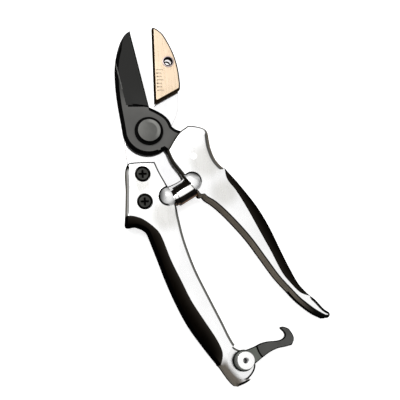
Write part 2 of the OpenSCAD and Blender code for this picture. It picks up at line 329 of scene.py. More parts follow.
def anvil_brass():
    n = Nodes("anvil_brass")
    cloud = n.noise(70, 3.0)
    lap = n.noise(900, 4.0, 0.6, n.stretched((1.0, 0.08, 1.0)))
    colour = n.mix(n.ramp(cloud, 0.3, 0.72), (0.70, 0.565, 0.42), (0.65, 0.51, 0.37))
    # Painted shade and light: near-black roundings, and walls near-black except those turned towards -y, painted a
    # lighter brown as if lit
    wall = n.mix(n.ramp(n.facing((0.0, -1.0, 0.0)), 0.3, 0.8), (0.003, 0.002, 0.001), (0.035, 0.022, 0.012))
    colour = n.edged(colour, (0.012, 0.007, 0.003), wall, 0.002, 0.008)
    rough = n.vary(lap, 0.24, 0.34)
    metal = n.ramp(n.steepness(), 0.002, 0.02, 0.95, 0.0)
    n.finish(colour, rough, n.bump(lap, 0.00002, 0.25), metal)


def bright_steel(name, a, b, edge, wall, rough_low, rough_high):
    n = Nodes(name)
    cloud = n.noise(90, 3.0)
    scuff = n.noise(1500, 4.0, 0.6, n.stretched((1.0, 0.15, 1.0)))
    colour = n.mix(n.ramp(cloud, 0.35, 0.7), a, b)
    colour = n.edged(colour, edge, wall)
    rough = n.vary(scuff, rough_low, rough_high)
    n.finish(colour, rough, n.bump(scuff, 0.000015, 0.2), n.bare_on_flats(0.98))


def polished_bore():
    n = Nodes("polished_bore")
    score = n.noise(2600, 3.0, 0.6, n.stretched((1.0, 1.0, 0.2)))
    colour = n.mix(n.ramp(score, 0.35, 0.7), (0.97, 0.96, 0.97), (0.9, 0.89, 0.9))
    n.finish(colour, n.vary(score, 0.08, 0.16), n.bump(score, 0.000005, 0.2), 1.0, 0.5)


def grey_steel(name, a, b, grain_scale, rough_low, rough_high, metallic=0.8, start=0.05, full=0.14):
    n = Nodes(name)
    cloud = n.noise(120, 3.0)
    grain = n.noise(grain_scale, 3.0, 0.6)
    colour = n.mottle(cloud, a, b)
    colour = n.edged(colour, rgb(a, 0.03), rgb(a, 0.08), start, full)
    rough = n.vary(grain, rough_low, rough_high)
    n.finish(colour, rough, n.bump(grain, 0.00002, 0.3), n.bare_on_flats(metallic), specular=0.01)


def spring_steel():
    """Polished strip: a painted highlight along the top of the coils, painted dark reflection on the flanks and a
    painted warm brown reflection along the lower side.
    """
    n = Nodes("spring_steel")
    cloud = n.noise(160, 3.0)
    scuff = n.noise(1800, 3.0, 0.6)
    up = n.facing((0.0, 0.0, 1.0))
    across = n.facing((ACROSS[0], ACROSS[1], 0.0))
    flank_shade = n.mottle(cloud, (0.004, 0.0035, 0.003), (0.010, 0.008, 0.006))
    warm_reflection = n.mix(n.ramp(cloud, 0.35, 0.7), (0.17, 0.085, 0.036), (0.10, 0.045, 0.018))
    colour = n.mix(n.fall(across, -0.90, -0.82), flank_shade, warm_reflection)
    # Painted highlight where the strip faces up
    bright = n.ramp(up, 0.945, 0.97)
    colour = n.mix(bright, colour, (0.97, 0.96, 0.94))
    rough = n.vary(scuff, 0.16, 0.26)
    n.finish(colour, rough, n.bump(scuff, 0.00001, 0.2), n.ramp(bright, 0.2, 0.9), specular=0.05)


def turned_steel(name, centre, a, b):
    """Grey steel with fine turning rings round an upright axis."""
    n = Nodes(name)
    settings = {"Vector": n.centred(centre), "Scale": 900.0, "Distortion": 0.6, "Detail": 2.0}
    rings = n.add("TexWave", settings,
                  wave_type="RINGS", rings_direction="Z").outputs[0]
    cloud = n.noise(150, 3.0)
    colour = n.mottle(cloud, a, b)
    # Painted highlight: a lighter band round the head's outer edge, on the side turned towards (0.9, 0.44) only
    ring = n.times(n.near_spot(centre, 4.0, 4.8), -1.0)
    ring = n.times(n.maths("ADD", 1.0, ring), n.beyond(centre, (0.9, 0.44), 0.5, 4.5))
    colour = n.mix(ring, colour, rgb(b, 1.9))
    colour = n.edged(colour, 0.002, 0.003)
    n.finish(colour, n.vary(cloud, 0.34, 0.44), n.bump(rings, 0.00001, 0.2),
             n.bare_on_flats(0.8))


# ---------------------------------------------------------------- shapes


def smooth(mesh, angle=34):
    mesh.shade_smooth()
    mesh.set_sharp_from_angle(angle=math.radians(angle))


def paint(mesh, choose):
    """Gives each face the material slot chosen from its centre (mm) and how upright its normal is."""
    for face in mesh.polygons:
        face.material_index = int(choose(np.array(face.center) / MM, abs(face.normal.z)))


def new_piece(name, mesh, node_names, body, slot, material, smooth_angle=32):
    piece = linked(name, mesh)
    for entry in material if isinstance(material, list) else [material]:
        mesh.materials.append(MAT[entry])
    if smooth_angle:
        smooth(mesh, smooth_angle)
    if node_names:
        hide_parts(*node_names)
    if body:
        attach(piece, body)
    return piece


def stand_in(node, mesh, material=None, **more):
    """A finished piece in place of one CAD node."""
    slot = slot_of(node)
    return new_piece(node + "_visual", mesh, [node], body_of(node), slot, material or slot, **more)


def mesh_from(bm, name):
    bmesh.ops.recalc_face_normals(bm, faces=bm.faces)
    mesh = bpy.data.meshes.new(name)
    bm.to_mesh(mesh)
    bm.free()
    return mesh


def welded(node):
    bm = bmesh.new()
    bm.from_mesh(nodes[node].data)
    bmesh.ops.remove_doubles(bm, verts=bm.verts, dist=1e-6)
    return bm


def area_of(loop):
    x, y = loop[:, 0], loop[:, 1]
    return 0.5 * float(np.sum(x * np.roll(y, -1) - np.roll(x, -1) * y))


def section(node, z):
    """The node's closed outlines at height z (mm), largest first, all counter-clockwise."""
    bm = welded(node)
    bmesh.ops.bisect_plane(bm, geom=bm.verts[:] + bm.edges[:] + bm.faces[:], dist=1e-8,
                           plane_co=(0, 0, z * MM), plane_no=(0, 0, 1), clear_inner=True, clear_outer=True)
    bmesh.ops.remove_doubles(bm, verts=bm.verts, dist=2e-6)
    seen, loops = set(), []
    for start in bm.verts:
        if start in seen or len(start.link_edges) != 2:
            continue
        loop, here = [], start
        while here is not None:
            seen.add(here)
            loop.append((here.co.x / MM, here.co.y / MM))
            beside = [e.other_vert(here) for e in here.link_edges]
            here = next((v for v in beside if v not in seen), None)
        if len(loop) > 2:
            loop = np.array(loop)
            loops.append(loop if area_of(loop) > 0 else loop[::-1])
    bm.free()
    return sorted(loops, key=lambda l: -abs(area_of(l)))


def clean(loop, closer=0.02):
    """Drops points that lie on the straight line between their neighbours, or on top of them."""
    kept = []
    for i in range(len(loop)):
        a, b, c = loop[i - 1] if not kept else kept[-1], loop[i], loop[(i + 1) % len(loop)]
        u, v = b - a, c - b
        if np.hypot(*u) < closer:
            continue
        if abs(u[0] * v[1] - u[1] * v[0]) < 1e-4 * np.hypot(*u) * np.hypot(*v) and u @ v > 0:
            continue
        kept.append(b)
    return np.array(kept)


def resample(loop, step, corner=26):
    """A smooth closed curve through the loop's points; turns sharper than corner degrees stay sharp."""
    loop = clean(loop)
    count, out = len(loop), []
    ahead = np.roll(loop, -1, 0) - loop
    length = np.hypot(ahead[:, 0], ahead[:, 1])
    unit = ahead / length[:, None]
    turn = np.degrees(np.arccos(np.clip(np.sum(unit * np.roll(unit, 1, 0), 1), -1, 1)))
    for i in range(count):
        j = (i + 1) % count
        tangents = []
        for k, own in ((i, i), (j, i)):
            both = unit[k - 1] * length[k] + unit[k] * length[k - 1]
            tangents.append(unit[own] if turn[k] > corner else both / (np.hypot(*both) + 1e-12))
        parts = max(1, math.ceil(length[i] / step))
        for s in range(parts):
            t = s / parts
            h = (2 * t ** 3 - 3 * t * t + 1, t ** 3 - 2 * t * t + t, -2 * t ** 3 + 3 * t * t, t ** 3 - t * t)
            out.append(h[0] * loop[i] + h[1] * length[i] * tangents[0] + h[2] * loop[j]
                       + h[3] * length[i] * tangents[1])
    return np.array(out)


def circle(centre, radius, steps=48):
    a = np.arange(steps) * 2 * math.pi / steps
    return np.stack([centre[0] + radius * np.cos(a), centre[1] + radius * np.sin(a)], 1)


def nearest_on(points, loop):
    """Distance from each point to the loop, and where on the loop (index and fraction) it is nearest."""
    a, b = loop, np.roll(loop, -1, 0)
    ab = b - a
    best = np.full(len(points), 1e9)
    index = np.zeros(len(points), int)
    part = np.zeros(len(points))
    for i in range(len(a)):
        t = np.clip(((points - a[i]) @ ab[i]) / (ab[i] @ ab[i] + 1e-12), 0, 1)
        d = np.hypot(*(points - a[i] - t[:, None] * ab[i]).T)
        closer = d < best
        best[closer], index[closer], part[closer] = d[closer], i, t[closer]
    return best, index, part


def inside(points, loop):
    x, y = points[:, 0], points[:, 1]
    result = np.zeros(len(points), bool)
    for (x0, y0), (x1, y1) in zip(loop, np.roll(loop, -1, 0)):
        crosses = (y0 > y) != (y1 > y)
        if y0 != y1:
            result ^= crosses & (x < (x1 - x0) * (y - y0) / (y1 - y0) + x0)
    return result


def reach(points, centre):
    """Distance in plan of a point, or of each of many, from a centre."""
    return np.hypot(*(points - centre).T)


def outward(loop):
    """Unit normals of a closed outline that runs counter-clockwise, pointing out of it."""
    chord = np.roll(loop, -1, 0) - np.roll(loop, 1, 0)
    return np.stack([chord[:, 1], -chord[:, 0]], 1) / (np.hypot(*chord.T)[:, None] + 1e-12)


def softened(rims, step, passes=3):
    """Lets a rim's radius change only gradually along the outline."""
    for _ in range(passes):
        rims = np.minimum(rims, (np.roll(rims, 1) + rims + np.roll(rims, -1)) / 3 + step)
    return rims


def level_faces(low, high):
    """Top and bottom height functions of a flat slab with rounded rims."""
    return (lambda p, drop, near: high - drop), (lambda p, drop, near: low + drop)


RIM_STEPS = (0.06, 0.2, 0.42, 0.7, 1.0, 1.25)   # rings of points, in rim radii from the outline
HOLE_CLEAR, EDGE_CLEAR, CLOSEST = 0.12, 0.01, 0.08   # what free points keep from holes, outline and others


def slab(name, outer, holes, top, bottom, rim=0.5, pitch=1.2, extra=()):
    """A solid between two height functions over an outline, with rings of points near the rim to round it.

    top and bottom take points and their rim drop; rim is one radius or one for each outline point."""
    rims = np.full(len(outer), float(rim)) if np.isscalar(rim) else np.asarray(rim, float)
    (x0, y0), (x1, y1) = outer.min(0), outer.max(0)
    gx, gy = np.meshgrid(np.arange(x0, x1, pitch), np.arange(y0, y1, pitch))
    gx = gx + (np.arange(gx.shape[0]) % 2)[:, None] * pitch / 2
    grid = np.stack([gx.ravel(), gy.ravel()], 1)
    near, at, _ = nearest_on(grid, outer)
    grid = grid[inside(grid, outer) & (near > RIM_STEPS[-1] * rims[at] + pitch * 0.4)]
    rings = [outer - outward(outer) * (rims * s)[:, None] for s in RIM_STEPS]
    free = [grid]
    for s, ring in zip(RIM_STEPS, rings):
        near, _, _ = nearest_on(ring, outer)
        free.append(ring[inside(ring, outer) & (near > 0.93 * rims * s)])
    free += [np.asarray(e) for e in extra if len(e)]
    free = np.concatenate(free)
    free = free[inside(free, outer)]
    for hole in holes:
        near, _, _ = nearest_on(free, hole)
        free = free[~inside(free, hole) & (near > HOLE_CLEAR)]
    keys = np.round(free / CLOSEST).astype(int)
    free = free[np.sort(np.unique(keys, axis=0, return_index=True)[1])]
    near, _, _ = nearest_on(free, outer)
    free = free[near > EDGE_CLEAR]
    loops = [outer, *holes]
    fixed = np.concatenate(loops)
    edges, start = [], 0
    for loop in loops:
        edges += [(start + i, start + (i + 1) % len(loop)) for i in range(len(loop))]
        start += len(loop)
    every = np.concatenate([fixed, free])
    verts, _, faces, *_ = delaunay_2d_cdt([Vector(p) for p in every], edges, [], 1, 1e-5)
    flat = np.array([(v.x, v.y) for v in verts])
    middle = np.array([flat[list(f)].mean(0) for f in faces])
    keep = inside(middle, outer)
    for hole in holes:
        keep &= ~inside(middle, hole)
    near, at, part = nearest_on(flat, outer)
    radius = rims[at] * (1 - part) + rims[(at + 1) % len(rims)] * part
    gone = np.clip(radius - near, 0, radius)
    drop = radius - np.sqrt(np.maximum(radius ** 2 - gone ** 2, 0))
    up, down = top(flat, drop, near), bottom(flat, drop, near)
    bm = bmesh.new()
    high = [bm.verts.new((x * MM, y * MM, z * MM)) for (x, y), z in zip(flat, up)]
    low = [bm.verts.new((x * MM, y * MM, z * MM)) for (x, y), z in zip(flat, down)]
    border = {}
    for face, good in zip(faces, keep):
        if not good:
            continue
        bm.faces.new([high[i] for i in face])
        bm.faces.new([low[i] for i in reversed(face)])
        for i, j in zip(face, face[1:] + face[:1]):
            border[(i, j)] = border.get((i, j), 0) + 1
    for i, j in list(border):
        if (j, i) not in border:
            bm.faces.new([high[i], low[i], low[j], high[j]])
    bmesh.ops.delete(bm, geom=[v for v in bm.verts if not v.link_faces], context="VERTS")
    return mesh_from(bm, name)


def sweep(name, rows, closed=False):
    """Joins rows of points (mm) with faces: into a ring when closed, else with both ends filled."""
    bm = bmesh.new()
    rows = [[bm.verts.new(tuple(c * MM for c in point)) for point in row] for row in rows]
    for a, b in zip(rows, rows[1:] + rows[:1] if closed else rows[1:]):
        for i in range(len(a)):
            j = (i + 1) % len(a)
            bm.faces.new([a[i], a[j], b[j], b[i]])
    if closed:
        bmesh.ops.remove_doubles(bm, verts=bm.verts, dist=1e-7)
        bmesh.ops.dissolve_degenerate(bm, dist=1e-8, edges=bm.edges)
    else:
        bm.faces.new(rows[0][::-1])
        bm.faces.new(rows[-1])
    return mesh_from(bm, name)


def lathe(name, profile, centre, steps=72):
    """Revolves a closed profile of (radius, z) points round an upright axis."""
    turns = [(math.cos(a), math.sin(a)) for a in (2 * math.pi * k / steps for k in range(steps))]
    x, y = centre
    return sweep(name, [[(x + r * c, y + r * s, z) for r, z in profile] for c, s in turns], True)


def rounded(profile, radius, parts=4):
    """Rounds a closed profile's corners; radius is one number or one for each corner."""
    out = []
    count = len(profile)
    for i, p in enumerate(profile):
        r = radius if np.isscalar(radius) else radius[i]
        p, a, b = (np.array(q, float) for q in (p, profile[i - 1], profile[(i + 1) % count]))
        if r <= 0:
            out.append(tuple(p))
            continue
        ra, rb = (min(r, 0.48 * np.hypot(*(q - p))) for q in (a, b))
        pa, pb = p + (a - p) / np.hypot(*(a - p)) * ra, p + (b - p) / np.hypot(*(b - p)) * rb
        for k in range(parts + 1):
            t = k / parts
            out.append(tuple((1 - t) ** 2 * pa + 2 * t * (1 - t) * p + t * t * pb))
    return out


def rod(radius, low, high):
    """The profile of a plain cylinder."""
    return [(0, low), (radius, low), (radius, high), (0, high)]


def ring_profile(inner, outer, low, high, radius):
    return rounded([(inner, low), (outer, low), (outer, high), (inner, high)], radius)


def cut(piece, cutters):
    """Takes the cutters' volumes away from the piece's mesh for good."""
    for cutter in cutters:
        modifier = piece.modifiers.new("cut", "BOOLEAN")
        modifier.operation = "DIFFERENCE"
        modifier.solver = "EXACT"
        modifier.object = cutter
        evaluated = piece.evaluated_get(bpy.context.evaluated_depsgraph_get())
        with_cut = bpy.data.meshes.new_from_object(evaluated)
        piece.modifiers.remove(modifier)
        old = piece.data
        piece.data = with_cut
        bpy.data.meshes.remove(old)
        bpy.data.objects.remove(cutter)


def tool(mesh):
    thing = linked("cutter", mesh)
    bpy.context.view_layer.update()
    return thing


def cylinder_tool(radius, low, high, centre, steps=96):
    return tool(lathe("cutter", rod(radius, low, high), centre, steps))


def smooth_max(a, b, k):
    h = np.clip(0.5 + 0.5 * (a - b) / k, 0, 1)
    return b * (1 - h) + a * h + k * h * (1 - h)


# ---------------------------------------------------------------- levels and places read from the CAD

handle_lo, handle_hi = box_mm("anvil_handle")
MID_Z = (handle_lo[2] + handle_hi[2]) / 2
grip_lo, grip_hi = box_mm("anvil_handle_grip")
GRIP_PROUD = 0.2
BACK_Z, FRONT_Z = grip_lo[2] + GRIP_PROUD, grip_hi[2] - GRIP_PROUD
JAW = np.array(joint["jaw_pivot"]["pos_m"][:2]) / MM
LATCH_AT = np.array(joint["latch_pivot"]["pos_m"][:2]) / MM


def dome_of(node):
    """Centre in plan of the ball boss, which carries the node's highest point."""
    v = np.array([p.co for p in nodes[node].data.vertices]) / MM
    return v[v[:, 2].argmax(), :2]


DOME_R = (handle_hi[2] - handle_lo[2]) / 2
LEFT_DOME, RIGHT_DOME = dome_of("anvil_handle"), dome_of("blade_handle")
spring_points = np.array([p.co for p in nodes["spring"].data.vertices]) / MM
SPRING_MID = (spring_points.min(0) + spring_points.max(0))[:2] / 2
AXIS = (RIGHT_DOME - LEFT_DOME) / np.hypot(*(RIGHT_DOME - LEFT_DOME))
ACROSS = np.array([-AXIS[1], AXIS[0]])
along = (spring_points[:, :2] - SPRING_MID) @ AXIS
side = (spring_points[:, :2] - SPRING_MID) @ ACROSS
SPRING_MID = SPRING_MID + AXIS * (along.min() + along.max()) / 2 + ACROSS * (side.min() + side.max()) / 2
SPRING_HALF = (along.max() - along.min()) / 2
SPRING_R = (side.max() - side.min()) / 2


def anvil_side_black_shade(n):
    """Painted near-black shade on the walls round the jaw end's top edge."""
    return n.past(1, -0.0235, -0.0215)


def anvil_side_rim_shading(n):
    """Painted shade on the rim line: black on the jaw end's top and the tail's right, grey at the palm, a painted
    light grey highlight at the left, brownish at the tail's left.
    """
    palm = n.past(1, -0.128, -0.124)
    left = n.times(n.short_of(0, -0.009, -0.007), n.short_of(1, -0.023, -0.021))
    jaw_end = n.past(1, -0.048, -0.044)
    colour = n.mix(palm, (0.006, 0.006, 0.005), (0.13, 0.128, 0.116))
    colour = n.mix(jaw_end, colour, (0.006, 0.006, 0.005))
    colour = n.mix(left, colour, (0.34, 0.34, 0.33))
    tail_left = n.times(n.short_of(1, -0.126, -0.122), n.short_of(0, 0.039, 0.042))
    return n.mix(tail_left, colour, (0.14, 0.124, 0.104))


def blade_side_black_shade(n):
    """Painted near-black shade on the blade handle's walls beside the hub and round the tail."""
    hub = n.times(n.past(1, -0.036, -0.031), n.short_of(0, 0.026, 0.03))
    return n.maths("MAXIMUM", n.times(hub, 0.72), n.past(0, 0.074, 0.088))


def blade_side_rim_shading(n):
    """Painted shade on the rim line: black, grey along the outer shoulder."""
    return n.mix(n.past(1, -0.026, -0.021), (0.006, 0.006, 0.005), (0.085, 0.085, 0.08))


# Where the painted shade on the anvil handle's tail corner starts, and the two ways it runs
TAIL_CORNER, TAIL_IN, TAIL_DOWN = (31.8, -129.9), (0.78, 0.626), (0.626, -0.78)
DOME_FOOT = 5.25

# The lists are the spots of painted shade on the faces; the anvil side also gets painted shade on its tail corner
cast_aluminium("anvil_side_aluminium", anvil_side_rim_shading, (0.5, 0.75), (0.13, 0.118, 0.1), anvil_side_black_shade,
               0.0068, [((6.5, -48), 4, 12), ((-6, -30), 2, 9)], (TAIL_CORNER, TAIL_IN, TAIL_DOWN))
cast_aluminium("blade_side_aluminium", blade_side_rim_shading, (0.1, 0.22), (0.15, 0.13, 0.105), blade_side_black_shade,
               0.0060, [((31, -18), 5, 13), ((40, -36), 3, 11)])
boss_aluminium("left_boss", LEFT_DOME, DOME_FOOT, ((-0.99, 0.1), (-0.8, 5.3)), ((-1.0, 0.0), (-1.6, 0.4)))
boss_aluminium("right_boss", RIGHT_DOME, DOME_FOOT, ((0.3, 0.95), (0.6, 4.8)),
               ((0.45, 0.89), (-0.2, 2.4)))
bright_steel("cut_aluminium", (0.85, 0.85, 0.84), (0.8, 0.8, 0.79), (0.8, 0.8, 0.79), (0.62, 0.6, 0.58),
             0.25, 0.35)
grip_black()
blade_coat("blade_ground", (0.027, 0.027, 0.026), (0.034, 0.034, 0.033), 0.03)
blade_coat("blade_body", (0.10, 0.099, 0.095), (0.125, 0.123, 0.118), 0.03)
anvil_brass()
bright_steel("chromed_steel", 0.95, (0.9, 0.9, 0.91), (0.62, 0.61, 0.6), (0.6, 0.59, 0.58), 0.1, 0.18)
bright_steel("rivet_bright", (0.97, 0.97, 0.96), 0.9, (0.36, 0.365, 0.35), (0.36, 0.365, 0.35), 0.2, 0.28)
polished_bore()
# Painted highlight: near-white and not metallic on the bore's upright wall
bright_steel("bore_painted_highlight", (0.97, 0.97, 0.96), 0.9, 0.95, 0.95, 0.2, 0.28)
# Near-black painted shade for the insides of the rivets' holes
grey_steel("hole_painted_shade", 0.004, 0.008, 2200, 0.4, 0.5, 0.0)
bright_steel("rivet_lilac", (0.56, 0.46, 0.45), (0.46, 0.38, 0.37), 0.004, 0.9, 0.25, 0.35)
grey_steel("black_oxide", 0.0015, 0.004, 2600, 0.35, 0.5, 0.0)
grey_steel("screw_face", (0.03, 0.03, 0.028), (0.06, 0.06, 0.055), 2600, 0.3, 0.42, 0.3)
turned_steel("pivot_steel", (0, 0), (0.085, 0.085, 0.08), (0.105, 0.105, 0.099))
bright_steel("zinc_steel", (0.72, 0.73, 0.74), (0.6, 0.61, 0.62), 0.12, 0.2, 0.3, 0.42)
spring_steel()
grey_steel("latch_steel", (0.070, 0.070, 0.067), (0.088, 0.088, 0.084), 2200, 0.42, 0.54, 0.4, 0.02, 0.07)
# Painted light: the eye is a lighter, greener copy of the latch's steel, for the light on its slope
grey_steel("latch_eye_lit", (0.115, 0.125, 0.112), (0.145, 0.155, 0.14), 2200, 0.42, 0.54, 0.4, 0.02, 0.07)
# Near-black painted shade, for grooves, steps and recesses where shade falls
grey_steel("painted_shade_black", 0.0012, 0.002, 2600, 0.4, 0.5, 0.0)
grey_steel("painted_crest_highlight", (0.12, 0.12, 0.115), (0.15, 0.15, 0.145), 2600, 0.4, 0.5, 0.0, 0.3, 0.5)
grey_steel("screw_end", 0.90, 0.86, 2600, 0.25, 0.35, 0.95)
bright_steel("bronze", (0.6, 0.42, 0.22), (0.5, 0.34, 0.18), (0.12, 0.08, 0.04), (0.2, 0.13, 0.07),
             0.3, 0.4)


def pocket_tool():
    """The round room for the spring, between the two bosses."""
    mesh = lathe("cutter", rod(SPRING_R + 0.3, -SPRING_HALF, SPRING_HALF), (0, 0), 64)
    turn = Matrix.Rotation(math.atan2(AXIS[1], AXIS[0]), 4, "Z") @ Matrix.Rotation(math.pi / 2, 4, "Y")
    mesh.transform(Matrix.Translation((SPRING_MID[0] * MM, SPRING_MID[1] * MM, MID_Z * MM)) @ turn)
    return tool(mesh)


def without_pocket(loop):
    """The handle's outline without the notch that the spring's pocket makes in it."""
    off = np.abs((loop - SPRING_MID) @ ACROSS)
    inner = np.abs((loop - SPRING_MID) @ AXIS) < SPRING_HALF + 0.1
    return loop[~(inner & (off < SPRING_R + 0.35))]


DOME_SPREAD = math.sqrt(DOME_R ** 2 - (FRONT_Z - MID_Z) ** 2) / DOME_FOOT   # flattens the boss to this foot


def dome_height(points, centre):
    off = np.sum((points - centre) ** 2, 1) * DOME_SPREAD ** 2
    return np.where(off < DOME_R ** 2, np.sqrt(np.maximum(DOME_R ** 2 - off, 0)), -DOME_R)


def dome_rings(centre):
    """Rings of points on the boss, closest together round its foot."""
    round_foot = [DOME_FOOT + d for d in (-0.8, -0.4, -0.15, 0, 0.15, 0.4, 0.8, 1.4)]
    radii = (0.3, 1, 1.8, 2.6, 3.3, 3.9, *round_foot)
    return np.concatenate([circle(centre, r, max(8, int(r * 9))) for r in radii])


# ---------------------------------------------------------------- handles

SEAM_RIM, SEAM_SHEEN_FADE = 0.25, 7.0
ON_SEAM = 0.08   # closer than this to the other piece's outline, a point lies on the seam


def handle(node, level, grip, dome, rim_of, lap=False):
    """One cast handle with its boss and soft rims; lap adds the step that the latch lies on."""
    outer = resample(without_pocket(section(node, level)[0]), 0.9)
    grip_outline = section(grip, MID_Z if node == "anvil_handle" else FRONT_Z - 0.5)[0]
    to_grip, _, _ = nearest_on(outer, grip_outline)
    rims = softened(np.where(to_grip < ON_SEAM, SEAM_RIM, rim_of(outer)), 0.15)

    def crown(near):
        return 0.16 * np.clip(1 - near / 5, 0, 1) ** 2

    def top(points, drop, near):
        high = smooth_max(FRONT_Z - drop - crown(near), MID_Z + dome_height(points, dome), 0.25)
        if not lap:
            return high
        in_lap = reach(points, LATCH_AT) < LAP_R
        return np.where(in_lap, LAP_Z - 0.8 * np.clip(1.2 - near, 0, 1.2) ** 2, high)

    def bottom(points, drop, near):
        return -smooth_max(-(BACK_Z + drop + crown(near)), dome_height(points, dome) - MID_Z, 0.25)

    rings = [dome_rings(dome)]
    if lap:
        rings += [circle(LATCH_AT, LAP_R + d, 120) for d in (-0.04, 0.04)]
    return slab(node, outer, [], top, bottom, rims, 1.1, rings)


def anvil_rim(outer):
    """Narrow at the jaw end, wider along the palm side and round the tail."""
    x, y = outer.T
    rims = 1.0 + 0.9 * np.clip((LEFT_DOME[1] - 4 - y) / 6, 0, 1)
    left_wall = (x < -10) & (y < -20)
    rims = np.where(left_wall, 1.7, rims)
    return np.where((y < -124) & (x > TAIL_CORNER[0] + 8), 1.6, rims)


def blade_rim(outer):
    """Narrow at the jaw end and along the palm side, wide on the outer shoulder, even round the tail."""
    x, y = outer.T
    shoulder = np.clip((x - 30) / 4, 0, 1) * np.clip((1 - y) / 3, 0, 1) * np.clip((y + 27) / 4, 0, 1)
    tail = np.clip((x - 68) / 14, 0, 1)
    faces_palm = outward(outer)[:, 0] < -0.3   # the side towards the anvil handle
    palm = np.clip((x - 24) / 6, 0, 1) * np.clip((-36 - y) / 5, 0, 1) * faces_palm
    return 1.0 + 2.4 * shoulder + 1.3 * tail + 0.9 * palm * (1 - tail)


def faced(piece, body_material, boss_material, dome):
    """Puts the boss's own finish on the boss, cut aluminium on the lap's wall, painted black shade on flat faces
    inside the cuts and the handle's finish on the rest.
    """
    mesh = piece.data
    mesh.materials.clear()
    for entry in (body_material, boss_material, "painted_shade_black", "cut_aluminium"):
        mesh.materials.append(MAT[entry])

    def finish_at(at, flat):
        if reach(at[:2], LATCH_AT) < LAP_R + 0.05 and LAP_Z + 0.5 < at[2] < FRONT_Z - 0.2:
            return 3
        if reach(at[:2], dome) < DOME_FOOT + 0.12 and not BACK_Z + 0.25 <= at[2] <= FRONT_Z - 0.25:
            return 1
        return 2 if BACK_Z + 1 < at[2] < FRONT_Z - 1 and flat > 0.9 and at[0] > 60 else 0

    paint(mesh, finish_at)
    smooth(mesh)


LAP_R, LAP_Z = 10.2, box_mm("latch_washer")[0][2]
BOLT_R, SCREW_R, SCREW_HEAD_R, SCREW_HEAD_T = 4, 2, radius_of("plate_screw_upper"), 1.6
handle_mesh = handle("anvil_handle", BACK_Z + 0.3, "anvil_handle_grip", LEFT_DOME, anvil_rim, lap=True)
anvil_handle = stand_in("anvil_handle", handle_mesh, "anvil_side_aluminium", smooth_angle=None)
screw_tools = []
for screw in ("plate_screw_upper", "plate_screw_lower"):
    seat = box_mm(screw)[1][2] - SCREW_HEAD_T
    r = SCREW_HEAD_R + 0.15
    mouth = rounded([(0, seat), (r, seat), (r, FRONT_Z - 0.3), (r + 0.3, FRONT_Z), (r + 0.3, 16), (0, 16)],
                    [0, 0, 0.1, 0, 0, 0], 3)
    screw_tools.append(tool(lathe("cutter", mouth, centre_of(screw), 64)))
cut(anvil_handle, [pocket_tool(), *screw_tools])
faced(anvil_handle, "anvil_side_aluminium", "left_boss", LEFT_DOME)

blade_mesh = handle("blade_handle", FRONT_Z - 0.6, "blade_handle_grip", RIGHT_DOME, blade_rim)
blade_handle = stand_in("blade_handle", blade_mesh, "blade_side_aluminium", smooth_angle=None)
FORK_ANGLE, FORK_START, FORK_LOW, FORK_HIGH = math.radians(-45.6), 117, 5.4, 9.6


def fork_tool():
    bm = bmesh.new()
    bmesh.ops.create_cube(bm, size=1)
    size = Matrix.Diagonal((40 * MM, 40 * MM, (FORK_HIGH - FORK_LOW) * MM, 1))
    place = Matrix.Translation(((FORK_START + 20) * MM, 0, (FORK_LOW + FORK_HIGH) / 2 * MM))
    bmesh.ops.transform(bm, matrix=Matrix.Rotation(FORK_ANGLE, 4, "Z") @ place @ size, verts=bm.verts)
    return tool(mesh_from(bm, "cutter"))


BLADE_LO, BLADE_HI = box_mm("blade")
SWING_R = 33
cut(blade_handle, [pocket_tool(), fork_tool(), cylinder_tool(SWING_R, -1, BLADE_LO[2], JAW, 160),
                   cylinder_tool(SCREW_R, 9, 14, centre_of("blade_screw_lower"), 48)])
faced(blade_handle, "blade_side_aluminium", "right_boss", RIGHT_DOME)

# ---------------------------------------------------------------- grips

for grip, rim_body in (("anvil_handle_grip", "anvil_handle"), ("blade_handle_grip", "blade_handle")):
    level = MID_Z if grip == "anvil_handle_grip" else FRONT_Z - 0.5
    outer = resample(section(grip, level)[0], 0.9)
    metal = section(rim_body, BACK_Z + 0.3 if grip == "anvil_handle_grip" else FRONT_Z - 0.6)[0]
    to_metal, _, _ = nearest_on(outer, metal)
    rims = softened(np.where(to_metal < ON_SEAM, 0.35, 1.5), 0.2)
    low, high = box_mm(grip)[0][2], box_mm(grip)[1][2]
    mesh = slab(grip, outer, [], *level_faces(low, high), rims, 1.6)
    # The seam value sets the grip's painted reflection: strongest beside the metal, gone a few millimetres away
    from_metal, _, _ = nearest_on(np.array([v.co[:2] for v in mesh.vertices]) / MM, metal)
    seam = mesh.attributes.new("seam", "FLOAT", "POINT")
    strength = 0.7 if grip == "anvil_handle_grip" else 0.6
    seam.data.foreach_set("value", strength * np.clip(1 - from_metal / SEAM_SHEEN_FADE, 0, 1))
    piece = stand_in(grip, mesh, smooth_angle=None)
    if grip == "blade_handle_grip":
        cut(piece, [fork_tool()])
    smooth(piece.data)

# ---------------------------------------------------------------- blade

BLADE_T = BLADE_HI[2] - BLADE_LO[2]
blade_mid = (BLADE_HI[2] + BLADE_LO[2]) / 2
blade_outer = resample(section("blade", blade_mid)[0], 0.8)
EDGE_ANGLE, EDGE_X, HEEL_Y, BEVEL_W, EDGE_T = math.radians(11.2), 3.75, 15.0, 12.5, 0.1
WIDE_RIM, LEAST_HALF = 2.1, 0.04
edge_dir = np.array([-math.sin(EDGE_ANGLE), math.cos(EDGE_ANGLE)])
edge_out = np.array([math.cos(EDGE_ANGLE), math.sin(EDGE_ANGLE)])
